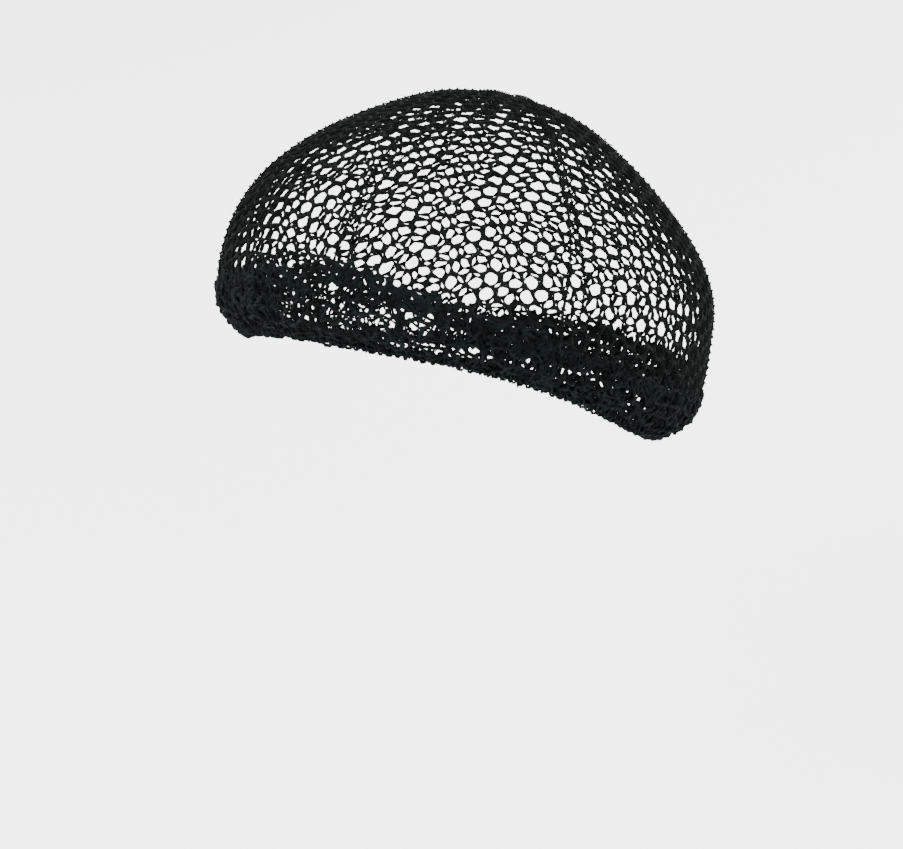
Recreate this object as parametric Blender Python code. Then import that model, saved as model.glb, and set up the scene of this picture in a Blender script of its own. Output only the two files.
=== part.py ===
"""Mesh cap: six net gores, their sewn seams, a gathered band and an elastic rim.

Metres, +Z up. The wearer faces -Y, the wearer's left is +X, and the origin is the
middle of the opening that the head goes in by. The cap has the form that it takes
on a head: a soft crown that leans back and overhangs its rim.
"""

import math
from typing import Callable, NamedTuple

import bmesh
import bpy
import numpy as np
from mathutils import Vector

MM = 0.001


class CrownSection(NamedTuple):
    """One oval section of the crown, as shares of the crown's driving sizes."""

    height: float
    half_width: float
    front: float
    back: float


class RimWave(NamedTuple):
    """One wave of the rim line: crests a round, mm of rise at the forehead and at the
    first quarter of a crest from it."""

    crests: int
    ahead: float
    aside: float


class BandSection(NamedTuple):
    """One level of the gathered band: height share, then mm out and in of the crown."""

    height: float
    outer: float
    inner: float


class Finish(NamedTuple):
    """Colour and roughness of a yarn."""

    name: str
    colour: tuple[float, float, float]
    roughness: float


# Crown, in millimetres and degrees. Its sections are ovals square to a centre line
# that starts square to the rim and bends back a little towards the pole. The rim line
# is highest over the forehead and dips behind the wearer's left ear, as it is worn.
CROWN_HALF_WIDTH = 95.0
CROWN_FRONT = 116.0
CROWN_BACK = 112.0
CROWN_HEIGHT = 110.0
RIM_TILT = 30.0
POLE_TILT = 33.0
RIM_REACH = 0.45
RIM_WAVES = (
    RimWave(0, 0.5, 0.0),
    RimWave(1, 2.0, -3.0),
    RimWave(2, 6.5, 2.5),
    RimWave(3, -1.5, 1.5),
    RimWave(4, -0.5, -1.0),
)
CROWN_SECTIONS = (
    CrownSection(0.00, 0.880, 0.780, 0.860),
    CrownSection(0.06, 0.970, 0.885, 0.915),
    CrownSection(0.14, 1.000, 0.940, 0.965),
    CrownSection(0.26, 0.995, 0.980, 1.000),
    CrownSection(0.42, 0.970, 0.945, 0.965),
    CrownSection(0.58, 0.875, 0.860, 0.830),
    CrownSection(0.74, 0.690, 0.705, 0.660),
    CrownSection(0.88, 0.465, 0.465, 0.490),
    CrownSection(0.97, 0.255, 0.245, 0.280),
    CrownSection(1.00, 0.000, 0.000, 0.000),
)

# Net of the gores. The seams lie at these turns from the forehead, the same on
# both sides of the head.
NET_THICKNESS = 2.0
NET_PITCH = 22.0
NET_BAR = 4.2
LEAST_OPEN_CELL = 0.42
GORE_TIP = 9.0
SEAM_TURNS = (0.0, 50.0, 115.0, 180.0)

# Seams, band and rim.
GAP = 0.3
NET_EDGE_GAP = 0.8
SEAM_RADIUS = 1.5
SEAM_SIDES = 6
SEAM_STEPS = 16
SIDE_SEAM_TIP = 6.0
BAND_FRONT = 43.0
BAND_FRONT_FALL = 7.0
BAND_SIDE = 25.0
BAND_BACK = 24.0
BAND_GATHERS = 40
BAND_GATHER_DEPTH = 1.2
BAND_STEPS = 160
BAND_SECTIONS = (
    BandSection(0.00, 1.6, 2.0),
    BandSection(0.16, 2.3, 2.8),
    BandSection(0.50, 2.6, 2.6),
    BandSection(0.82, 2.2, 2.0),
    BandSection(1.00, 1.4, 1.5),
)
ELASTIC_RADIUS = 1.8
ELASTIC_SIDES = 6
ELASTIC_STEPS = 180
SCALLOPS = 60
SCALLOP_DEPTH = 0.9

NET_YARN = Finish("net_yarn", (0.010, 0.012, 0.013), 0.85)
SEAM_YARN = Finish("seam_yarn", (0.008, 0.009, 0.010), 0.90)
BAND_YARN = Finish("band_yarn", (0.009, 0.011, 0.012), 0.88)
ELASTIC_YARN = Finish("elastic_yarn", (0.013, 0.014, 0.016), 0.75)

SAMPLES = 160


def rim_rise(turn: np.ndarray) -> np.ndarray:
    """Return how far the rim line rises above its plane at each turn, in millimetres."""
    rise = np.zeros_like(turn)
    for wave in RIM_WAVES:
        rise = rise + wave.ahead * np.cos(wave.crests * turn)
        rise = rise + wave.aside * np.sin(wave.crests * turn)
    return rise


class Crown:
    """The smooth surface that the cap follows, in millimetres.

    A place on it is a turn from the forehead in radians and a level: 0 at the rim,
    then one more at each row of CROWN_SECTIONS up to the pole.
    """

    top = len(CROWN_SECTIONS) - 1

    def __init__(self) -> None:
        """Lay the section rows out, with one mirrored past each end for the curve."""
        rows = np.array(CROWN_SECTIONS)
        rows *= (1.0, CROWN_HALF_WIDTH, CROWN_FRONT, CROWN_BACK)
        below = 2.0 * rows[0] - rows[1]
        beyond = rows[-2] * (1.0, -1.0, -1.0, -1.0)
        self.rows = np.vstack([below, rows, beyond])

    def section(self, level: np.ndarray) -> np.ndarray:
        """Read the smooth curve through the rows.

        Args:
            level: Levels to read at.

        Returns:
            Height share, half width, front and back, as the last axis.
        """
        row = np.clip(np.floor(level).astype(int), 0, self.top - 1)
        part = (level - row)[..., None]
        a, b, c, d = (self.rows[row + step] for step in range(4))
        bend = 2.0 * a - 5.0 * b + 4.0 * c - d
        twist = -a + 3.0 * b - 3.0 * c + d
        return 0.5 * (2.0 * b + (c - a) * part + bend * part**2 + twist * part**3)

    def point(self, turn: np.ndarray, level: np.ndarray) -> np.ndarray:
        """Find points of the surface.

        Args:
            turn: Turns from the forehead towards the wearer's left, in radians.
            level: Levels, one for each turn.

        Returns:
            Points in millimetres, as the last axis.
        """
        turn, level = np.broadcast_arrays(turn, level)
        height, width, front, back = np.moveaxis(self.section(level), -1, 0)
        start = math.radians(RIM_TILT)
        lean = start + (math.radians(POLE_TILT) - start) * height
        bend = CROWN_HEIGHT / (math.radians(POLE_TILT) - start)
        rise = rim_rise(turn) * np.clip(1.0 - height / RIM_REACH, 0.0, 1.0) ** 1.5
        along = -np.cos(turn)
        along = along * np.where(along < 0.0, front, back)
        y = bend * (math.cos(start) - np.cos(lean)) + along * np.cos(lean)
        z = bend * (np.sin(lean) - math.sin(start)) - along * np.sin(lean)
        return np.stack(
            [width * np.sin(turn), y + rise * np.sin(lean), z + rise * np.cos(lean)],
            axis=-1,
        )

    def normal(self, turn: np.ndarray, level: np.ndarray) -> np.ndarray:
        """Find the unit directions that point out of the surface.

        Args:
            turn: Turns from the forehead, in radians.
            level: Levels, one for each turn.

        Returns:
            Unit vectors, as the last axis.
        """
        level = np.minimum(level, self.top - 0.02)
        step = 0.01
        across = self.point(turn + step, level) - self.point(turn - step, level)
        up = self.point(turn, level + step) - self.point(turn, level - step)
        out = np.cross(across, up)
        return out / np.linalg.norm(out, axis=-1, keepdims=True)

    def meridian(self, turn: float) -> tuple[np.ndarray, np.ndarray]:
        """Measure the line from rim to pole at one turn.

        Args:
            turn: Turn from the forehead, in radians.

        Returns:
            Levels, and the length along the line from the rim to each of them.
        """
        level = np.linspace(0.0, self.top, SAMPLES)
        points = self.point(np.full_like(level, turn), level)
        steps = np.linalg.norm(np.diff(points, axis=0), axis=1)
        return level, np.concatenate([[0.0], np.cumsum(steps)])

    def length(self, turn: float) -> float:
        """Return the length of the line from rim to pole at one turn."""
        return float(self.meridian(turn)[1][-1])

    def level_above_rim(self, turn: float, distance: float) -> float:
        """Return the level that lies a distance above the rim at one turn."""
        level, length = self.meridian(turn)
        return float(np.interp(distance, length, level))

    def place(self, turn: float, distance: float, out: float = 0.0) -> Vector:
        """Find a place near the surface.

        Args:
            turn: Turn from the forehead, in radians.
            distance: Distance above the rim along the surface, in millimetres.
            out: Distance out of the surface, in millimetres.

        Returns:
            The place, in metres.
        """
        level = self.level_above_rim(turn, distance)
        spot = self.point(turn, level) + out * self.normal(turn, level)
        return Vector(spot * MM)


CROWN = Crown()


def band_height(turn: float) -> float:
    """Return the height of the gathered band at one turn, in millimetres."""
    ahead = max(math.cos(turn), 0.0) ** BAND_FRONT_FALL
    behind = max(-math.cos(turn), 0.0) ** 2
    front = (BAND_FRONT - BAND_SIDE) * ahead
    return BAND_SIDE + front + (BAND_BACK - BAND_SIDE) * behind


def material(finish: Finish) -> bpy.types.Material:
    """Make the material of a finish, or take it up again.

    Args:
        finish: The finish.

    Returns:
        Its material.
    """
    made = bpy.data.materials.get(finish.name)
    if made is None:
        made = bpy.data.materials.new(finish.name)
        made.use_nodes = True
        shader = made.node_tree.nodes["Principled BSDF"]
        shader.inputs["Base Color"].default_value = (*finish.colour, 1.0)
        shader.inputs["Roughness"].default_value = finish.roughness
        shader.inputs["Metallic"].default_value = 0.0
    return made


def add_node(name: str, mesh: bmesh.types.BMesh, finish: Finish) -> bpy.types.Object:
    """Turn a mesh into a named object of the cap.

    Args:
        name: Name of the node.
        mesh: The mesh, which is freed.
        finish: Its finish.

    Returns:
        The object.
    """
    data = bpy.data.meshes.new(name)
    mesh.to_mesh(data)
    mesh.free()
    data.materials.append(material(finish))
    data.shade_smooth()
    node = bpy.data.objects.new(name, data)
    bpy.context.collection.objects.link(node)
    return node


class Gore:
    """The flat cloth of one gore and the way that it lies on the crown.

    Distances run from the pole down the gore's middle line, which is straight in the
    flat cloth, and across it.
    """

    def __init__(self, first: float, last: float) -> None:
        """Measure the crown between two seams.

        Args:
            first: Turn of one seam, in degrees.
            last: Turn of the other seam, in degrees.
        """
        self.middle = math.radians(0.5 * (first + last))
        self.half = math.radians(0.5 * (last - first))
        level, length = CROWN.meridian(self.middle)
        self.down = (length[-1] - length)[::-1]
        across = self.middle + self.half * np.linspace(-1.0, 1.0, 9)[:, None]
        rings = CROWN.point(across, level[None, ::-1])
        chords = np.linalg.norm(np.diff(rings, axis=0), axis=-1)
        self.half_width = np.maximum(0.5 * chords.sum(axis=0), 0.5)
        slope = np.gradient(self.half_width, self.down)
        stretch = np.sqrt(1.0 + slope**2) - 1.0
        self.extra = np.concatenate(
            [[0.0], np.cumsum(0.5 * (stretch[1:] + stretch[:-1]) * np.diff(self.down))]
        )

    def end(self, side: float) -> float:
        """Return how far down the cloth reaches at a share of its half width."""
        turn = self.middle + self.half * side
        return CROWN.length(turn) - band_height(turn) - NET_EDGE_GAP

    def share(self, across: float, down: float) -> Vector:
        """Turn a place in the flat cloth into shares of the gore.

        Args:
            across: Distance from the middle line, in millimetres.
            down: Distance from the pole, in millimetres.

        Returns:
            Share of the half width, share of the length, and zero.
        """
        side = across / np.interp(down, self.down, self.half_width)
        reach = down + np.interp(down, self.down, self.extra) * min(side**2, 1.0)
        return Vector((side, reach / self.end(max(-1.0, min(1.0, side))), 0.0))

    def lay(self, side: float, share: float) -> Vector:
        """Find the place on the crown, in metres, for shares of the gore."""
        turn = self.middle + self.half * side
        return CROWN.place(turn, CROWN.length(turn) - share * self.end(side))


def honeycomb(gore: Gore) -> bmesh.types.BMesh:
    """Tile the flat cloth of a gore with six-sided cells, as shares of the gore.

    Args:
        gore: The gore.

    Returns:
        The tiled mesh, which reaches past the gore on all sides.
    """
    mesh = bmesh.new()
    row_pitch = NET_PITCH * math.sqrt(0.75)
    corner = NET_PITCH / math.sqrt(3.0)
    corners = {}
    for row in range(int(gore.down[-1] / row_pitch) + 2):
        for column in range(-5, 6):
            across = (column + 0.5 * (row % 2)) * NET_PITCH
            down = (row + 0.4) * row_pitch
            ring = []
            for step in range(6):
                angle = math.radians(60.0 * step + 30.0)
                spot = (
                    across + corner * math.cos(angle),
                    max(0.5, down + corner * math.sin(angle)),
                )
                key = (round(spot[0]), round(spot[1]))
                if key not in corners:
                    corners[key] = mesh.verts.new(gore.share(*spot))
                if corners[key] not in ring:
                    ring.append(corners[key])
            mesh.faces.new(ring)
    return mesh


def trim(mesh: bmesh.types.BMesh, at: Vector, away: Vector) -> None:
    """Cut a mesh along a plane and clear what lies beyond it.

    Args:
        mesh: The mesh.
        at: A place on the plane.
        away: Direction of the part that goes.
    """
    bmesh.ops.bisect_plane(
        mesh,
        geom=mesh.verts[:] + mesh.edges[:] + mesh.faces[:],
        plane_co=at,
        plane_no=away,
        clear_outer=True,
    )


def build_gore(name: str, first: float, last: float) -> bpy.types.Object:
    """Build one gore as a net wall with open cells.

    Args:
        name: Name of the node.
        first: Turn of one of its seams, in degrees.
        last: Turn of the other seam, in degrees.

    Returns:
        The gore.
    """
    gore = Gore(first, last)
    mesh = honeycomb(gore)
    trim(mesh, Vector((1.0, 0.0, 0.0)), Vector((1.0, 0.0, 0.0)))
    trim(mesh, Vector((-1.0, 0.0, 0.0)), Vector((-1.0, 0.0, 0.0)))
    trim(mesh, Vector((0.0, 1.0, 0.0)), Vector((0.0, 1.0, 0.0)))
    tip = GORE_TIP / gore.end(0.0)
    trim(mesh, Vector((0.0, tip, 0.0)), Vector((0.0, -1.0, 0.0)))
    for corner in mesh.verts:
        side, share, _ = corner.co
        down = share * gore.end(side)
        width = np.interp(down, gore.down, gore.half_width)
        clear = 1.0 - (SEAM_RADIUS + NET_EDGE_GAP) / width
        corner.co = gore.lay(side * clear, share)
    bmesh.ops.remove_doubles(mesh, verts=mesh.verts[:], dist=0.6 * MM)
    full = NET_PITCH**2 * math.sqrt(0.75) * MM**2
    cells = [face for face in mesh.faces if face.calc_area() > LEAST_OPEN_CELL * full]
    bmesh.ops.inset_individual(
        mesh, faces=cells, thickness=0.5 * NET_BAR * MM, use_even_offset=True
    )
    bmesh.ops.delete(mesh, geom=cells, context="FACES")
    bmesh.ops.triangulate(mesh, faces=[face for face in mesh.faces if len(face.verts) > 4])
    face_outward(mesh)
    node = add_node(name, mesh, NET_YARN)
    wall = node.modifiers.new("wall", "SOLIDIFY")
    wall.thickness = NET_THICKNESS * MM
    wall.offset = 0.0
    return node


def face_outward(mesh: bmesh.types.BMesh) -> None:
    """Turn the faces of an open sheet away from the middle of the crown."""
    bmesh.ops.recalc_face_normals(mesh, faces=mesh.faces[:])
    outward = sum(face.normal.dot(face.calc_center_median()) for face in mesh.faces)
    if outward < 0.0:
        bmesh.ops.reverse_faces(mesh, faces=mesh.faces[:])


def join_rings(
    mesh: bmesh.types.BMesh, rings: list[list[bmesh.types.BMVert]], closed: bool
) -> None:
    """Skin a row of rings of vertices into a tube.

    Args:
        mesh: The mesh that holds them.
        rings: The rings in order, all with as many vertices.
        closed: Whether the last ring joins the first; if not, both ends are capped.
    """
    count = len(rings[0])
    for index in range(len(rings) - (0 if closed else 1)):
        here, there = rings[index], rings[(index + 1) % len(rings)]
        for side in range(count):
            after = (side + 1) % count
            mesh.faces.new((here[side], here[after], there[after], there[side]))
    if not closed:
        mesh.faces.new(rings[0][::-1])
        mesh.faces.new(rings[-1])
    bmesh.ops.recalc_face_normals(mesh, faces=mesh.faces[:])


def build_seam(name: str, stops: list[tuple[float, float]]) -> bpy.types.Object:
    """Build a sewn seam as a round cord of yarn that lies on the crown.

    Args:
        name: Name of the node.
        stops: Turn in radians and distance above the rim in mm, along the seam.

    Returns:
        The seam.
    """
    mesh = bmesh.new()
    path = [CROWN.place(*stop) for stop in stops]
    rings = []
    for index, spot in enumerate(path):
        before = path[max(index - 1, 0)]
        after = path[min(index + 1, len(path) - 1)]
        along = (after - before).normalized()
        turn, distance = stops[index]
        out = CROWN.place(turn, distance, 1.0) - spot
        side = along.cross(out).normalized()
        out = side.cross(along)
        ring = []
        for step in range(SEAM_SIDES):
            angle = math.tau * step / SEAM_SIDES
            reach = math.cos(angle) * side + math.sin(angle) * out
            ring.append(mesh.verts.new(spot + SEAM_RADIUS * MM * reach))
        rings.append(ring)
    join_rings(mesh, rings, closed=False)
    return add_node(name, mesh, SEAM_YARN)


def seam_line(degrees: float, tip: float) -> list[tuple[float, float]]:
    """List the stops of a seam from the band up to near the pole.

    Args:
        degrees: Turn of the seam, in degrees.
        tip: Distance that it stays short of the pole, in millimetres.

    Returns:
        Turn in radians and distance above the rim, stop by stop.
    """
    turn = math.radians(degrees)
    start = band_height(turn) + NET_EDGE_GAP
    reach = np.linspace(start, CROWN.length(turn) - tip, SEAM_STEPS + 1)
    return [(turn, float(distance)) for distance in reach]


def build_ring(
    name: str,
    steps: int,
    section: Callable[[float], list[tuple[float, float]]],
    finish: Finish,
) -> bpy.types.Object:
    """Build a closed ring that runs round the rim.

    Args:
        name: Name of the node.
        steps: Number of sections round the ring.
        section: Gives the section at a turn: distances above the rim and out, in mm.
        finish: The finish of the ring.

    Returns:
        The ring.
    """
    mesh = bmesh.new()
    rings = []
    for step in range(steps):
        turn = math.tau * step / steps
        rings.append(
            [mesh.verts.new(CROWN.place(turn, up, out)) for up, out in section(turn)]
        )
    join_rings(mesh, rings, closed=True)
    return add_node(name, mesh, finish)


def band_section(turn: float) -> list[tuple[float, float]]:
    """Give the band's section at one turn, fuller on the crest of each gather.

    Args:
        turn: Turn from the forehead, in radians.

    Returns:
        Distance above the rim and distance out, point by point.
    """
    foot = 2.0 * ELASTIC_RADIUS + GAP
    top = band_height(turn)
    wander = math.sin(5.0 * turn) + math.sin(11.0 * turn + 1.0)
    crest = math.cos(BAND_GATHERS * turn + 0.5 * wander)
    outer = []
    inner = []
    for row in BAND_SECTIONS:
        up = foot + (top - foot) * row.height
        full = math.sin(math.pi * row.height) ** 0.7
        outer.append((up, row.outer + BAND_GATHER_DEPTH * full * crest))
        inner.append((up, -row.inner + 0.5 * BAND_GATHER_DEPTH * full * crest))
    return outer + inner[::-1]


def elastic_section(turn: float) -> list[tuple[float, float]]:
    """Give the elastic cord's section at one turn, with a scallop on its outer side.

    Args:
        turn: Turn from the forehead, in radians.

    Returns:
        Distance above the rim and distance out, point by point.
    """
    lobe = SCALLOP_DEPTH * (0.5 + 0.5 * math.cos(SCALLOPS * turn))
    points = []
    for step in range(ELASTIC_SIDES):
        angle = math.tau * (step + 0.5) / ELASTIC_SIDES
        up, out = math.cos(angle), math.sin(angle)
        reach = ELASTIC_RADIUS + (lobe if out > 0.1 else 0.0)
        points.append((ELASTIC_RADIUS * (1.0 + up), reach * out))
    return points


def main() -> None:
    """Build the cap."""
    for leftover in list(bpy.data.objects):
        bpy.data.objects.remove(leftover)
    forehead, side, nape, back = SEAM_TURNS
    build_gore("gore_front_left", forehead, side)
    build_gore("gore_left", side, nape)
    build_gore("gore_back_left", nape, back)
    build_gore("gore_back_right", -back, -nape)
    build_gore("gore_right", -nape, -side)
    build_gore("gore_front_right", -side, -forehead)
    over = seam_line(forehead, 0.0) + seam_line(back, 0.0)[-2::-1]
    build_seam("seam_front_back", over)
    build_seam("seam_front_left", seam_line(side, SIDE_SEAM_TIP))
    build_seam("seam_back_left", seam_line(nape, SIDE_SEAM_TIP))
    build_seam("seam_front_right", seam_line(-side, SIDE_SEAM_TIP))
    build_seam("seam_back_right", seam_line(-nape, SIDE_SEAM_TIP))
    build_ring("gathered_band", BAND_STEPS, band_section, BAND_YARN)
    build_ring("rim_elastic", ELASTIC_STEPS, elastic_section, ELASTIC_YARN)


main()
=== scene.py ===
"""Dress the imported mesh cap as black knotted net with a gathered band.

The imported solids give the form. Here each gore becomes a fine net of twisted yarn
with a knot where three strands meet, each seam a line of whipped stitches, the band
four gathered layers of the same net, and the rim an elastic cord with yarn looped
over it. Lengths are in millimetres until a piece's mesh is written in metres.
"""

from __future__ import annotations

import logging
import math
from dataclasses import dataclass, field
from enum import Enum
from typing import Callable

import bpy
import numpy as np
from mathutils import Matrix, Vector

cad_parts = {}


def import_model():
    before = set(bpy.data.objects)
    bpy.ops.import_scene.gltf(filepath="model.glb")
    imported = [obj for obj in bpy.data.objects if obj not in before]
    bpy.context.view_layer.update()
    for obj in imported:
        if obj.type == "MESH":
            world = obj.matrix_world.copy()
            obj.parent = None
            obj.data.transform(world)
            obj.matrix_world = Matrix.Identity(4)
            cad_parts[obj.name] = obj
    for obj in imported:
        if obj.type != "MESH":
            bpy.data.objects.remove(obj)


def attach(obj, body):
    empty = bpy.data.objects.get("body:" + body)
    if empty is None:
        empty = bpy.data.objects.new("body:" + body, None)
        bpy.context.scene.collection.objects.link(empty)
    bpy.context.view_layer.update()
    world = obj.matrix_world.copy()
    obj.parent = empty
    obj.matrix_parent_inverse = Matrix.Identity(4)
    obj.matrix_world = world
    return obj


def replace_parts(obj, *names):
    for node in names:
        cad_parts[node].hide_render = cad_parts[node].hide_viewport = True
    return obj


LOG = logging.getLogger("mesh_cap")
MM = 0.001
TINY = 1e-9
Array = np.ndarray


def unit(vectors: Array) -> Array:
    """Scale vectors to a length of one."""
    return vectors / np.maximum(np.linalg.norm(vectors, axis=-1, keepdims=True), TINY)


class Slot(Enum):
    """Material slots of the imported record."""

    NET = "net_yarn"
    SEAM = "seam_yarn"
    BAND = "band_yarn"
    ELASTIC = "elastic_yarn"


class Hold(Enum):
    """How a piece of the cloth is held."""

    STRETCHED = "stretched"
    GATHERED = "gathered"


class Run(Enum):
    """Which way the close rows of cells run in a gore."""

    ACROSS = "across"
    ALONG = "along"


def fill_inputs(node: bpy.types.Node, values: dict[str, float | tuple[float, ...]]) -> None:
    """Set inputs of a shader node by their names."""
    for name, value in values.items():
        node.inputs[name].default_value = value


@dataclass(frozen=True)
class YarnFinish:
    """Black spun yarn: fibres along each ply, fuzz, and a faint cool bloom.

    Each relief is a strength and a depth in metres.
    """

    name: str
    shade: tuple[float, float, float]
    bloom: tuple[float, float, float]
    roughness: float = 0.78
    specular: float = 0.030
    sheen: float = 0.010
    sheen_roughness: float = 0.45
    sheen_tint: tuple[float, float, float] = (0.55, 0.72, 0.74)
    patch_scale: float = 160.0
    patch_range: tuple[float, float] = (0.38, 0.72)
    fibre_scale: float = 5.0
    fibre_bend: float = 2.5
    fibre_relief: tuple[float, float] = (0.55, 0.00012)
    fuzz_scale: float = 2600.0
    fuzz_relief: tuple[float, float] = (0.45, 0.00010)

    def material(self) -> bpy.types.Material:
        """Build the material.

        Returns:
            The material, made once for each finish.
        """
        made = bpy.data.materials.get(self.name)
        if made is not None:
            return made
        made = bpy.data.materials.new(self.name)
        made.use_nodes = True
        tree = made.node_tree
        shader = tree.nodes["Principled BSDF"]
        fill_inputs(
            shader,
            {
                "Roughness": self.roughness,
                "Specular IOR Level": self.specular,
                "Sheen Weight": self.sheen,
                "Sheen Roughness": self.sheen_roughness,
                "Sheen Tint": (*self.sheen_tint, 1.0),
            },
        )
        places = tree.nodes.new("ShaderNodeTexCoord")
        self._colour(tree, places, shader)
        self._relief(tree, places, shader)
        return made

    def _colour(
        self,
        tree: bpy.types.NodeTree,
        places: bpy.types.Node,
        shader: bpy.types.Node,
    ) -> None:
        """Vary the black from strand to strand and lighten the rubbed fibres.

        Args:
            tree: The material's nodes.
            places: The texture coordinates.
            shader: The surface shader.
        """
        patches = tree.nodes.new("ShaderNodeTexNoise")
        fill_inputs(patches, {"Scale": self.patch_scale, "Detail": 4.0})
        ramp = tree.nodes.new("ShaderNodeValToRGB")
        stops = zip(ramp.color_ramp.elements, self.patch_range, (self.shade, self.bloom))
        for stop, position, colour in stops:
            stop.position = position
            stop.color = (*colour, 1.0)
        tree.links.new(places.outputs["Object"], patches.inputs["Vector"])
        tree.links.new(patches.outputs["Fac"], ramp.inputs["Fac"])
        tree.links.new(ramp.outputs["Color"], shader.inputs["Base Color"])

    def _relief(
        self,
        tree: bpy.types.NodeTree,
        places: bpy.types.Node,
        shader: bpy.types.Node,
    ) -> None:
        """Raise slanting fibres on each ply and a fine fuzz over them.

        Args:
            tree: The material's nodes.
            places: The texture coordinates.
            shader: The surface shader.
        """
        fibres = tree.nodes.new("ShaderNodeTexWave")
        fibres.bands_direction = "DIAGONAL"
        bend = {"Distortion": self.fibre_bend, "Detail": 2.0}
        fill_inputs(fibres, {"Scale": self.fibre_scale, **bend})
        fuzz = tree.nodes.new("ShaderNodeTexNoise")
        fill_inputs(fuzz, {"Scale": self.fuzz_scale, "Detail": 6.0})
        low = tree.nodes.new("ShaderNodeBump")
        high = tree.nodes.new("ShaderNodeBump")
        for bump, (strength, depth) in ((low, self.fibre_relief), (high, self.fuzz_relief)):
            fill_inputs(bump, {"Strength": strength, "Distance": depth})
        tree.links.new(places.outputs["UV"], fibres.inputs["Vector"])
        tree.links.new(places.outputs["Object"], fuzz.inputs["Vector"])
        tree.links.new(fibres.outputs["Fac"], low.inputs["Height"])
        tree.links.new(fuzz.outputs["Fac"], high.inputs["Height"])
        tree.links.new(low.outputs["Normal"], high.inputs["Normal"])
        tree.links.new(high.outputs["Normal"], shader.inputs["Normal"])


NET_FINISH = YarnFinish(
    "net_yarn_dressed", shade=(0.0015, 0.0018, 0.0016), bloom=(0.0042, 0.0052, 0.0046)
)
SEAM_FINISH = YarnFinish(
    "seam_yarn_dressed", shade=(0.0013, 0.0017, 0.0016), bloom=(0.0038, 0.0050, 0.0048)
)
BAND_FINISH = YarnFinish(
    "band_yarn_dressed", shade=(0.0011, 0.0017, 0.0015), bloom=(0.0034, 0.0058, 0.0056)
)
ELASTIC_FINISH = YarnFinish(
    "elastic_yarn_dressed",
    shade=(0.0014, 0.0020, 0.0020),
    bloom=(0.0046, 0.0072, 0.0074),
    roughness=0.70,
)


@dataclass(frozen=True)
class CrownRow:
    """One oval section of the crown, as shares of its driving sizes."""

    height: float
    half_width: float
    front: float
    back: float


@dataclass(frozen=True)
class RimWave:
    """One wave of the rim line: crests a round, and its rise in front and at the side."""

    crests: int
    ahead: float
    aside: float


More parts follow.
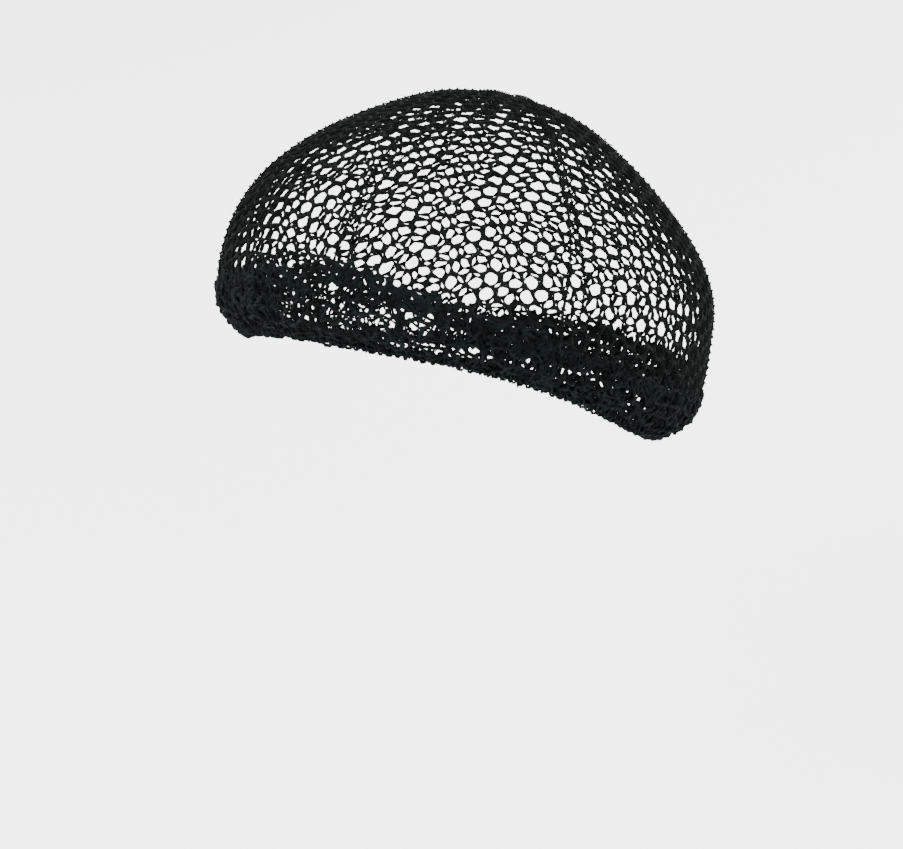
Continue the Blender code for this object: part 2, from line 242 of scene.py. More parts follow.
@dataclass
class CrownForm:
    """The smooth form of the worn cap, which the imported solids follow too."""

    half_width: float = 95.0
    front: float = 116.0
    back: float = 112.0
    height: float = 110.0
    rim_tilt: float = 30.0
    pole_tilt: float = 33.0
    rim_reach: float = 0.45
    rim_fade: float = 1.5
    rim_waves: tuple[RimWave, ...] = (
        RimWave(0, 0.5, 0.0),
        RimWave(1, 2.0, -3.0),
        RimWave(2, 6.5, 2.5),
        RimWave(3, -1.5, 1.5),
        RimWave(4, -0.5, -1.0),
    )
    band_front: float = 43.0
    band_front_fall: float = 7.0
    band_side: float = 25.0
    band_back: float = 24.0
    pinch: float = 3.0
    pinch_turn: float = 107.0
    pinch_width: float = 24.0
    pinch_height: float = 15.0
    rows: tuple[CrownRow, ...] = (
        CrownRow(0.00, 0.880, 0.780, 0.860),
        CrownRow(0.06, 0.970, 0.885, 0.915),
        CrownRow(0.14, 1.000, 0.940, 0.965),
        CrownRow(0.26, 0.995, 0.980, 1.000),
        CrownRow(0.42, 0.970, 0.945, 0.965),
        CrownRow(0.58, 0.875, 0.860, 0.830),
        CrownRow(0.74, 0.690, 0.705, 0.660),
        CrownRow(0.88, 0.465, 0.465, 0.490),
        CrownRow(0.97, 0.255, 0.245, 0.280),
        CrownRow(1.00, 0.000, 0.000, 0.000),
    )
    turn_steps: int = 240
    level_steps: int = 200

    def __post_init__(self) -> None:
        """Lay out the section rows and measure the lines from rim to pole."""
        rows = np.array([(r.height, r.half_width, r.front, r.back) for r in self.rows])
        rows *= (1.0, self.half_width, self.front, self.back)
        below = 2.0 * rows[0] - rows[1]
        beyond = rows[-2] * (1.0, -1.0, -1.0, -1.0)
        self.curve = np.vstack([below, rows, beyond])
        self.top = len(self.rows) - 1
        self._measure()

    def _measure(self) -> None:
        """Tabulate the level against the share of each line's length."""
        turns = np.linspace(0.0, math.tau, self.turn_steps + 1)
        levels = np.linspace(0.0, self.top, self.level_steps)
        points = self.point(turns[:, None], levels[None, :])
        steps = np.linalg.norm(np.diff(points, axis=1), axis=2)
        along = np.concatenate([np.zeros((len(turns), 1)), np.cumsum(steps, axis=1)], 1)
        self.lengths = along[:, -1]
        shares = np.linspace(0.0, 1.0, self.level_steps)
        self.levels = np.array(
            [np.interp(shares * line[-1], line, levels) for line in along]
        )

    def section(self, level: Array) -> Array:
        """Read the smooth curve through the rows.

        Args:
            level: Levels to read at, 0 at the rim and one more at each row.

        Returns:
            Height share, half width, front and back, as the last axis.
        """
        row = np.clip(np.floor(level).astype(int), 0, self.top - 1)
        part = (level - row)[..., None]
        a, b, c, d = (self.curve[row + step] for step in range(4))
        bend = 2.0 * a - 5.0 * b + 4.0 * c - d
        twist = -a + 3.0 * b - 3.0 * c + d
        return 0.5 * (2.0 * b + (c - a) * part + bend * part**2 + twist * part**3)

    def rim_rise(self, turn: Array) -> Array:
        """Add up the rim line's waves.

        Args:
            turn: Turns, in radians.

        Returns:
            How far the rim line rises above its plane there.
        """
        rise = np.zeros_like(turn)
        for wave in self.rim_waves:
            rise = rise + wave.ahead * np.cos(wave.crests * turn)
            rise = rise + wave.aside * np.sin(wave.crests * turn)
        return rise

    def point(self, turn: Array, level: Array) -> Array:
        """Find points of the form.

        Args:
            turn: Turns from the front towards +X, in radians.
            level: Levels.

        Returns:
            Points, as the last axis.
        """
        turn, level = np.broadcast_arrays(turn, level)
        height, width, front, back = np.moveaxis(self.section(level), -1, 0)
        start = math.radians(self.rim_tilt)
        change = math.radians(self.pole_tilt) - start
        lean = start + change * height
        bend = self.height / change
        fade = np.clip(1.0 - height / self.rim_reach, 0.0, 1.0) ** self.rim_fade
        rise = self.rim_rise(turn) * fade
        along = -np.cos(turn)
        along = along * np.where(along < 0.0, front, back)
        y = bend * (math.cos(start) - np.cos(lean)) + along * np.cos(lean)
        z = bend * (np.sin(lean) - math.sin(start)) - along * np.sin(lean)
        return np.stack(
            [width * np.sin(turn), y + rise * np.sin(lean), z + rise * np.cos(lean)],
            axis=-1,
        )

    def length(self, turn: Array) -> Array:
        """Return the length of the line from rim to pole at each turn."""
        steps = np.mod(turn, math.tau) / math.tau * self.turn_steps
        return np.interp(steps, np.arange(self.turn_steps + 1), self.lengths)

    def level(self, turn: Array, share: Array) -> Array:
        """Turn shares of the line's length into levels.

        Args:
            turn: Turns, in radians.
            share: Shares of the length from the rim, from 0 to 1.

        Returns:
            Levels.
        """
        column = np.mod(turn, math.tau) / math.tau * self.turn_steps
        row = np.clip(share, 0.0, 1.0) * (self.level_steps - 1)
        i = np.clip(column.astype(int), 0, self.turn_steps - 1)
        j = np.clip(row.astype(int), 0, self.level_steps - 2)
        u, v = column - i, row - j
        low = self.levels[i, j] * (1.0 - v) + self.levels[i, j + 1] * v
        high = self.levels[i + 1, j] * (1.0 - v) + self.levels[i + 1, j + 1] * v
        return low * (1.0 - u) + high * u

    def place(
        self, turn: Array, distance: Array, out: Array | float = 0.0
    ) -> tuple[Array, Array]:
        """Find places near the form.

        Args:
            turn: Turns, in radians.
            distance: Distances above the rim, along the form.
            out: Distances out of the form.

        Returns:
            The places, and the directions that point out of the form there.
        """
        turn, distance = np.broadcast_arrays(np.asarray(turn, float), distance)
        level = self.level(turn, distance / self.length(turn))
        step = 0.01
        inner = np.clip(level, step, self.top - 2.0 * step)
        across = self.point(turn + step, inner) - self.point(turn - step, inner)
        up = self.point(turn, inner + step) - self.point(turn, inner - step)
        normal = unit(np.cross(across, up))
        reach = (out - self._pull(turn, distance))[..., None]
        return self.point(turn, level) + reach * normal, normal

    def _pull(self, turn: Array, distance: Array) -> Array:
        """Tell how far the elastic pulls the cap in at its back left.

        Args:
            turn: Turns, in radians.
            distance: Distances above the rim.

        Returns:
            Distances into the form.
        """
        aside = np.mod(turn - math.radians(self.pinch_turn) + math.pi, math.tau) - math.pi
        near = np.exp(-((aside / math.radians(self.pinch_width)) ** 2))
        return self.pinch * near * np.clip(1.0 - distance / self.pinch_height, 0.0, 1.0)

    def front_share(self, turn: Array) -> Array:
        """Return how much of the band's front height is there at each turn."""
        return np.maximum(np.cos(turn), 0.0) ** self.band_front_fall

    def band_height(self, turn: Array) -> Array:
        """Blend the gathered band's heights.

        Args:
            turn: Turns, in radians.

        Returns:
            The band's height above the rim there.
        """
        behind = np.maximum(-np.cos(turn), 0.0) ** 2
        front = (self.band_front - self.band_side) * self.front_share(turn)
        return self.band_side + front + (self.band_back - self.band_side) * behind


@dataclass
class Pattern:
    """A small shape that is modelled once and copied into the yarn pieces."""

    points: Array
    corners: Array
    starts: Array
    uvs: Array

    @classmethod
    def take(cls, shape: bpy.types.Object) -> Pattern:
        """Read a modelled shape and remove its object.

        Args:
            shape: The shape, about the origin, its yarn along Z.

        Returns:
            The pattern.
        """
        mesh = shape.data
        points = np.array([point.co[:] for point in mesh.vertices])
        order = np.lexsort(points.T)
        points = points[order]
        number = np.argsort(order)
        faces = [number[list(face.vertices)] for face in mesh.polygons]
        # Points and faces are put in order, so that they are the same in each run.
        faces = sorted(np.roll(face, -face.argmin()).tolist() for face in faces)
        corners = np.concatenate(faces).astype(np.int32)
        ends = np.cumsum([len(face) for face in faces])
        starts = np.append(0, ends[:-1])
        round_share = np.arctan2(points[:, 1], points[:, 0]) / math.tau
        uvs = np.stack([round_share, points[:, 2]], axis=1)[corners]
        for start, end in zip(starts, ends):
            ring = uvs[start:end, 0]
            ring[ring < ring.max() - 0.5] += 1.0
        bpy.data.objects.remove(shape)
        bpy.data.meshes.remove(mesh)
        return cls(points, corners, starts, uvs)


def start_shape(add: Callable[[], object]) -> bpy.types.Object:
    """Add a primitive with nothing else selected and go into edit mode.

    Args:
        add: Adds the primitive.

    Returns:
        The new object.
    """
    bpy.ops.object.select_all(action="DESELECT")
    add()
    bpy.ops.object.mode_set(mode="EDIT")
    return bpy.context.object


def select_points(shape: bpy.types.Object, chosen: Callable[[Vector], bool]) -> None:
    """Select the points that a rule picks, and nothing else, in edit mode.

    Args:
        shape: The shape that is being modelled.
        chosen: Tells of a point's place whether it is picked.
    """
    bpy.ops.mesh.select_all(action="DESELECT")
    bpy.ops.object.mode_set(mode="OBJECT")
    for point in shape.data.vertices:
        point.select = chosen(point.co)
    bpy.ops.object.mode_set(mode="EDIT")


@dataclass
class TwistedPair:
    """Two plies twisted round each other along Z, over a length of one."""

    sides: int = 5
    rings: int = 4
    ply_radius: float = 0.34
    wrap_radius: float = 0.33
    half_turns: int = 1
    spread: float = 0.28
    swell: float = 0.12
    plies: int = 2

    def _centre(self, share: float) -> Vector:
        """Find the middle of the first ply.

        Args:
            share: Share of the length.

        Returns:
            Its place there.
        """
        flare = (2.0 * share - 1.0) ** 4
        reach = self.wrap_radius * (1.0 + self.spread * flare)
        turn = math.pi * self.half_turns * share
        return Vector((reach * math.cos(turn), reach * math.sin(turn), share))

    def _girth(self, share: float) -> float:
        """Return the girth of a ply at a share of the length, fuller at both ends."""
        return 1.0 + self.swell * (2.0 * share - 1.0) ** 2

    def model(self) -> Pattern:
        """Model the pair from a ring that is extruded step by step.

        Returns:
            The pattern of both plies.
        """
        start = self._centre(0.0)
        shape = start_shape(
            lambda: bpy.ops.mesh.primitive_circle_add(
                vertices=self.sides, radius=self.ply_radius, location=(0, 0, 0)
            )
        )
        bpy.ops.transform.translate(value=start)
        girth = self._girth(0.0)
        bpy.ops.transform.resize(value=(girth, girth, 1.0), center_override=start)
        for ring in range(1, self.rings + 1):
            before = self._centre((ring - 1) / self.rings)
            after = self._centre(ring / self.rings)
            bpy.ops.mesh.extrude_region_move(
                TRANSFORM_OT_translate={"value": after - before}
            )
            grow = self._girth(ring / self.rings) / self._girth((ring - 1) / self.rings)
            bpy.ops.transform.resize(value=(grow, grow, 1.0), center_override=after)
        bpy.ops.mesh.select_all(action="SELECT")
        bpy.ops.mesh.fill_holes(sides=0)
        for _ in range(self.plies - 1):
            bpy.ops.mesh.select_all(action="SELECT")
            bpy.ops.mesh.duplicate()
            bpy.ops.transform.rotate(
                value=math.pi, orient_axis="Z", center_override=(0.0, 0.0, 0.0)
            )
        bpy.ops.mesh.select_all(action="SELECT")
        bpy.ops.mesh.normals_make_consistent(inside=False)
        bpy.ops.object.mode_set(mode="OBJECT")
        return Pattern.take(shape)


@dataclass
class Knot:
    """The small hard knot where three strands meet, flattened along Y."""

    radius: float = 0.95
    flatness: float = 0.86
    twist: float = 35.0
    twisted_above: float = 0.2

    def model(self) -> Pattern:
        """Model the knot from a ball whose upper half is twisted.

        Returns:
            The pattern of the knot.
        """
        shape = start_shape(
            lambda: bpy.ops.mesh.primitive_ico_sphere_add(
                subdivisions=1, radius=self.radius
            )
        )
        bpy.ops.transform.resize(value=(1.0, self.flatness, 1.0))
        select_points(shape, lambda place: place.z > self.twisted_above * self.radius)
        bpy.ops.transform.rotate(
            value=math.radians(self.twist),
            orient_axis="Z",
            center_override=(0.0, 0.0, 0.0),
        )
        bpy.ops.object.mode_set(mode="OBJECT")
        return Pattern.take(shape)


@dataclass
class Loop:
    """A closed loop of yarn round Z, drawn longer on one side."""

    radius: float = 1.0
    yarn_radius: float = 0.3
    segments: int = 8
    sides: int = 4
    drop: float = 0.12
    pulled_below: float = -0.3

    def model(self) -> Pattern:
        """Model the loop from a ring whose lower side is pulled out.

        Returns:
            The pattern of the loop.
        """
        shape = start_shape(
            lambda: bpy.ops.mesh.primitive_torus_add(
                major_segments=self.segments,
                minor_segments=self.sides,
                major_radius=self.radius,
                minor_radius=self.yarn_radius,
            )
        )
        select_points(shape, lambda place: place.y < self.pulled_below * self.radius)
        bpy.ops.transform.translate(value=(0.0, -self.drop * self.radius, 0.0))
        bpy.ops.object.mode_set(mode="OBJECT")
        return Pattern.take(shape)


class YarnWork:
    """A piece of yarn work that grows copy by copy into one mesh."""

    def __init__(self) -> None:
        """Start with nothing."""
        self.points: list[Array] = []
        self.corners: list[Array] = []
        self.starts: list[Array] = []
        self.uvs: list[Array] = []
        self.point_count = 0
        self.corner_count = 0

    def add(
        self, pattern: Pattern, at: Array, axes: Array, bow: Array | None = None
    ) -> None:
        """Add copies of a pattern.

        Args:
            pattern: The shape to copy.
            at: Where each copy's origin goes, one row each.
            axes: Where each copy's X, Y and Z go, as rows of a matrix each.
            bow: How far the middle of each copy is pushed aside.
        """
        count = len(at)
        if count == 0:
            return
        laid = np.einsum("pi,cij->cpj", pattern.points, axes) + at[:, None, :]
        if bow is not None:
            along = pattern.points[:, 2]
            laid += (4.0 * along * (1.0 - along))[None, :, None] * bow[:, None, :]
        offsets = self.point_count + np.arange(count) * len(pattern.points)
        corners = pattern.corners[None, :] + offsets[:, None]
        offsets = self.corner_count + np.arange(count) * len(pattern.corners)
        starts = pattern.starts[None, :] + offsets[:, None]
        scale = np.linalg.norm(axes[:, 2], axis=1)
        uvs = np.repeat(pattern.uvs[None], count, axis=0)
        uvs[:, :, 1] *= scale[:, None]
        self.points.append(laid.reshape(-1, 3))
        self.corners.append(corners.ravel())
        self.starts.append(starts.ravel())
        self.uvs.append(uvs.reshape(-1, 2))
        self.point_count += count * len(pattern.points)
        self.corner_count += count * len(pattern.corners)

    def strands(
        self,
        pattern: Pattern,
        start: Array,
        end: Array,
        normal: Array,
        girth: Array | float = 1.0,
        bow: Array | None = None,
    ) -> None:
        """Lay copies of a strand between pairs of places.

        Args:
            pattern: The strand, along Z over a length of one.
            start: Where each strand starts.
            end: Where each strand ends.
            normal: The direction out of the cloth at each strand.
            girth: How thick each strand is, against the pattern.
            bow: How far the middle of each strand is pushed aside.
        """
        along = end - start
        way = unit(along)
        side = unit(np.cross(normal, way))
        out = np.cross(way, side)
        girth = np.broadcast_to(girth, len(start))[:, None]
        axes = np.stack([side * girth, out * girth, along], axis=1)
        self.add(pattern, start, axes, bow)

    def cord(
        self, pattern: Pattern, path: Array, normal: Array, girth: float, closed: bool
    ) -> None:
        """Lay copies of a strand end to end along a path.

        Args:
            pattern: The strand, of half turns, so that the copies meet.
            path: The path's points.
            normal: The direction out of the cloth at each point.
            girth: How thick the cord is, against the pattern.
            closed: Whether the path closes on itself.
        """
        end = np.roll(path, -1, axis=0)
        if not closed:
            path, end, normal = path[:-1], end[:-1], normal[:-1]
        self.strands(pattern, path, end, normal, girth)

    def knots(
        self,
        pattern: Pattern,
        spots: Array,
        out: Array,
        rng: np.random.Generator,
        spread: float = 0.10,
    ) -> None:
        """Tie a knot at each spot, turned as chance has it.

        Args:
            pattern: The knot.
            spots: Where the knots go.
            out: The outward direction at each of them.
            rng: The source of chance.
            spread: How much their size varies.
        """
        angle = rng.uniform(0.0, math.tau, len(spots))[:, None]
        # Any direction does that isn't straight out of the cloth.
        slanting = np.array([0.3, 0.2, 1.0])
        aside = unit(np.cross(out, slanting))
        along = np.cross(aside, out)
        x = aside * np.cos(angle) + along * np.sin(angle)
        z = np.cross(x, out)
        size = rng.normal(1.0, spread, len(spots))[:, None, None]
        self.add(pattern, spots, np.stack([x, out, z], axis=1) * size)

    def finish(self, name: str, finish: YarnFinish, slot: Slot) -> bpy.types.Object:
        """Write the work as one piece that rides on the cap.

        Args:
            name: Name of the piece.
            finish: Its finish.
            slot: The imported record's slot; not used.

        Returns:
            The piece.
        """
        mesh = bpy.data.meshes.new(name)
        points = np.concatenate(self.points) * MM
        corners = np.concatenate(self.corners).astype(np.int32)
        starts = np.concatenate(self.starts).astype(np.int32)
        mesh.vertices.add(len(points))
        mesh.vertices.foreach_set("co", points.astype(np.float32).ravel())
        mesh.loops.add(len(corners))
        mesh.loops.foreach_set("vertex_index", corners)
        mesh.polygons.add(len(starts))
        mesh.polygons.foreach_set("loop_start", starts)
        mesh.update(calc_edges=True)
        layer = mesh.uv_layers.new(name="yarn")
        uvs = np.concatenate(self.uvs).astype(np.float32)
        layer.data.foreach_set("uv", uvs.ravel())
        mesh.shade_smooth()
        mesh.materials.append(finish.material())
        piece = bpy.data.objects.new(name, mesh)
        bpy.context.collection.objects.link(piece)
        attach(piece, "root")
        totals = np.diff(np.append(starts, len(corners)))
        LOG.info("%s: %d triangles", name, int((totals - 2).sum()))
        return piece


@dataclass(frozen=True)
class ZigzagRows:
    """The corners of a six-sided net in zigzag rows, and the strands between them."""

    rows: int
    columns: int
    first_lean: float
    closed: bool = False

    def lean(self) -> Array:
        """Return how each corner leans: 1 towards the next row, or -1 away from it."""
        row, column = np.indices((self.rows, self.columns))
        return self.first_lean * np.where((row + column) % 2 == 0, 1.0, -1.0)

    def heights(self, row_pitch: float) -> Array:
        """Return each corner's distance across the rows, leaning by a sixth of a row."""
        rows = np.arange(self.rows)[:, None] * row_pitch
        return rows + self.lean() * row_pitch / 6.0

    def strands(self) -> Array:
        """List the strands, first those in the rows and then those between rows.

        Returns:
            Pairs of corner numbers, counted row by row.
        """
        number = np.arange(self.rows * self.columns).reshape(self.rows, self.columns)
        after = np.roll(number, -1, axis=1)
        reach = self.columns if self.closed else self.columns - 1
        slant = np.stack([number[:, :reach].ravel(), after[:, :reach].ravel()], axis=1)
        leans_on = self.lean()[:-1] > 0.0
        upright = np.stack([number[:-1][leans_on], number[1:][leans_on]], axis=1)
        return np.concatenate([slant, upright])


@dataclass(frozen=True)
class NetCut:
    """How a gore is cut from the net: its rows' run, both pitches and the skew."""

    run: Run
    pitch: float
    row_pitch: float
    skew: float

    def lay_flat(self, half_width: float, length: float) -> tuple[Array, Array]:
        """Lay out net enough to cover a gore, with a few cells to spare all round.

        Args:
            half_width: The gore's greatest half width.
            length: Its length.

        Returns:
            Across and down for each corner, and the strands as pairs of corner numbers.
        """
        wide = 2.4 * half_width + 2.0 * abs(self.skew) * length + 4.0 * self.pitch
        long = length + 3.0 * self.row_pitch
        if self.run is Run.ALONG:
            wide, long = long, wide
        net = ZigzagRows(int(long / self.row_pitch), int(2.0 * wide / self.pitch), -1.0)
        stack = net.heights(self.row_pitch)
        walk = np.broadcast_to(np.arange(net.columns) * 0.5 * self.pitch, stack.shape)
        if self.run is Run.ALONG:
            across, down = stack - 0.5 * (net.rows - 1) * self.row_pitch, walk
        else:
            across, down = walk - 0.25 * (net.columns - 1) * self.pitch, stack
        flat = np.stack([across + self.skew * down, down], axis=-1)
        return flat.reshape(-1, 2), net.strands()


@dataclass(frozen=True)
class FlatCloth:
    """A gore laid flat: half widths, and how much further its edges run, by distance."""

    down: Array
    half_width: Array
    extra: Array


@dataclass
class NetGore:
    """One gore of the crown: fine net between two seams."""

    place: str
    first: float
    last: float
    cut: NetCut
    seed: int
    unevenness: float = 0.24
    tuck: float = 7.0
    girth: float = 1.22
    girth_spread: float = 0.06
    sag: float = 0.18
    sink: float = 0.8
    shortest: float = 0.35
    least_part: float = 1e-3
    pole_gap: float = 1.0
    least_half_width: float = 0.5
    steps_down: int = 120
    steps_across: int = 9

    def _turns(self) -> tuple[float, float]:
        """Return the middle turn and half the width in turn, in radians."""
        middle = math.radians(0.5 * (self.first + self.last))
        return middle, math.radians(0.5 * (self.last - self.first))

    def _spread(self, form: CrownForm) -> FlatCloth:
        """Measure the gore's flat cloth down its middle line.

        Args:
            form: The form of the cap.

        Returns:
            The flat cloth.
        """
        middle, half = self._turns()
        whole = form.length(np.array(middle))
        down = np.linspace(0.0, float(whole), self.steps_down)
        turns = middle + half * np.linspace(-1.0, 1.0, self.steps_across)[:, None]
        share = (whole - down) / whole
        level = form.level(np.full_like(share, middle), share)
        rings = form.point(turns, level[None, :])
        half_width = 0.5 * np.linalg.norm(np.diff(rings, axis=0), axis=-1).sum(axis=0)
        half_width = np.maximum(half_width, self.least_half_width)
        slope = np.gradient(half_width, down)
        stretch = np.sqrt(1.0 + slope**2) - 1.0
        steps = 0.5 * (stretch[1:] + stretch[:-1]) * np.diff(down)
        return FlatCloth(down, half_width, np.concatenate([[0.0], np.cumsum(steps)]))

    def build(self, form: CrownForm, strand: Pattern, knot: Pattern) -> bpy.types.Object:
        """Build the gore's net.

        Args:
            form: The form of the cap.
            strand: The pattern of a strand.
            knot: The pattern of a knot.

        Returns:
            The piece.
        """
        rng = np.random.default_rng(self.seed)
        cloth = self._spread(form)
        flat, strands = self.cut.lay_flat(cloth.half_width.max(), cloth.down[-1])
        flat = flat + rng.normal(0.0, self.unevenness, flat.shape)
        shares = self._shares(form, cloth, flat)
        start, end = self._trim(shares, strands)
        first, normal = self._lay(form, start)
        last, _ = self._lay(form, end)
        keep = np.linalg.norm(last - first, axis=1) > self.shortest
        bow = normal * rng.normal(0.0, self.sag, len(first))[:, None]
        girth = self.girth * rng.normal(1.0, self.girth_spread, len(first))
        work = YarnWork()
        work.strands(
            strand, first[keep], last[keep], normal[keep], girth[keep], bow[keep]
        )
        inside = (np.abs(shares[:, 0]) < 1.0) & (shares[:, 1] < 1.0)
        spots, out = self._lay(form, shares[inside])
        work.knots(knot, spots, out, rng)
        piece = work.finish(f"net_{self.place}", NET_FINISH, Slot.NET)
        return piece

    def _limit(self, form: CrownForm, turn: Array) -> Array:
        """Return how far down the net reaches, a tuck below the band's top."""
        return form.length(turn) - form.band_height(turn) + self.tuck

    def _shares(self, form: CrownForm, cloth: FlatCloth, flat: Array) -> Array:
        """Turn places in the flat cloth into shares of the gore.

        Args:
            form: The form of the cap.
            cloth: The flat cloth.
            flat: Across and down, row by row.

        Returns:
            Share of the half width and of the length, row by row.
        """
        deep = np.clip(flat[:, 1], self.pole_gap, None)
        side = flat[:, 0] / np.interp(deep, cloth.down, cloth.half_width)
        extra = np.interp(deep, cloth.down, cloth.extra)
        reach = deep + extra * np.minimum(side**2, 1.0)
        middle, half = self._turns()
        limit = self._limit(form, middle + half * np.clip(side, -1.0, 1.0))
        return np.stack([side, reach / limit], axis=1)

    def _lay(self, form: CrownForm, shares: Array) -> tuple[Array, Array]:
        """Lay shares of the half width and length on the form.

        Args:
            form: The form of the cap.
            shares: Share of the half width and of the length, row by row.

        Returns:
            Places and outward directions.
        """
        middle, half = self._turns()
        turn = middle + half * shares[:, 0]
        above = form.length(turn) - shares[:, 1] * self._limit(form, turn)
        return form.place(turn, above, -self.sink)

    def _trim(self, shares: Array, strands: Array) -> tuple[Array, Array]:
        """Cut the strands off at both seams and at the lower edge.

        Args:
            shares: Shares of the half width and of the length of each corner.
            strands: Pairs of corner numbers.

        Returns:
            The shares at both ends of each strand that is left.
        """
        a, b = shares[strands[:, 0]], shares[strands[:, 1]]
        low = np.zeros(len(strands))
        high = np.ones(len(strands))
        for axis, sign in ((0, 1.0), (0, -1.0), (1, 1.0)):
            from_edge = sign * a[:, axis] - 1.0
            change = sign * (b[:, axis] - a[:, axis])
            change = np.where(np.abs(change) < TINY, TINY, change)
            cross = -from_edge / change
            high = np.where(change > 0.0, np.minimum(high, cross), high)
            low = np.where(change < 0.0, np.maximum(low, cross), low)
        keep = high - low > self.least_part
        a, b, low, high = a[keep], b[keep], low[keep, None], high[keep, None]
        return a + (b - a) * low, a + (b - a) * high


@dataclass
class SewnSeam:
    """A seam between two gores: a laid cord with whipped stitches over it."""

    place: str
    turns: tuple[float, ...]
    tip: float
    seed: int
    tuck: float = 6.0
    cord_step: float = 3.4
    cord_girth: float = 0.90
    stitch_step: float = 3.1
    stitch_width: float = 1.0
    stitch_height: float = 0.85
    slant: float = 24.0
    slant_spread: float = 7.0

    def _path(self, form: CrownForm, step: float) -> tuple[Array, Array]:
        """Walk the seam at even steps.

        Args:
            form: The form of the cap.
            step: Length of a step.

        Returns:
            Places and outward directions.
        """
        places = []
        normals = []
        for leg, degrees in enumerate(self.turns):
            turn = np.array(math.radians(degrees))
            start = float(form.band_height(turn)) - self.tuck
            stop = float(form.length(turn)) - self.tip
            count = max(2, round((stop - start) / step))
            distance = np.linspace(start, stop, count + 1)
            place, normal = form.place(np.full_like(distance, turn), distance)
            if leg:
                place, normal = place[-2::-1], normal[-2::-1]
            places.append(place)
            normals.append(normal)
        return np.concatenate(places), np.concatenate(normals)

    def build(self, form: CrownForm, cord: Pattern, loop: Pattern) -> bpy.types.Object:
        """Build the seam.

        Args:
            form: The form of the cap.
            cord: The pattern of a strand whose copies meet.
            loop: The pattern of a stitch.

        Returns:
            The piece.
        """
        rng = np.random.default_rng(self.seed)
        work = YarnWork()
        path, normal = self._path(form, self.cord_step)
        work.cord(cord, path, normal, self.cord_girth, closed=False)
        path, normal = self._path(form, self.stitch_step)
        way = unit(np.gradient(path, axis=0))
        side = np.cross(normal, way)
        slant = self.slant + rng.normal(0.0, self.slant_spread, len(path))
        slant = np.radians(slant)[:, None]
        across = side * np.cos(slant) + way * np.sin(slant)
        through = np.cross(across, normal)
        axes = np.stack(
            [across * self.stitch_width, normal * self.stitch_height, through], axis=1
        )
        work.add(loop, path, axes)
        return work.finish(f"stitches_{self.place}", SEAM_FINISH, Slot.SEAM)


@dataclass(frozen=True)
class Window:
    """A stretch of the band, in degrees of turn, where a layer leaves off."""

    first: float
    last: float
    low: float
    high: float

    def misses(self, turn: Array, share: Array, ragged: Array) -> Array:
        """Find the corners that fall into the window.

        Args:
            turn: Turns of the corners.
            share: Their heights as shares of the layer's height.
            ragged: How far the window's sides wander there, in degrees.

        Returns:
            True for each corner in the window.
        """
        middle = math.radians(0.5 * (self.first + self.last))
        aside = np.abs(np.mod(turn - middle + math.pi, math.tau) - math.pi)
        near = np.degrees(aside) + ragged < 0.5 * (self.last - self.first)
        return near & (share > self.low) & (share < self.high)


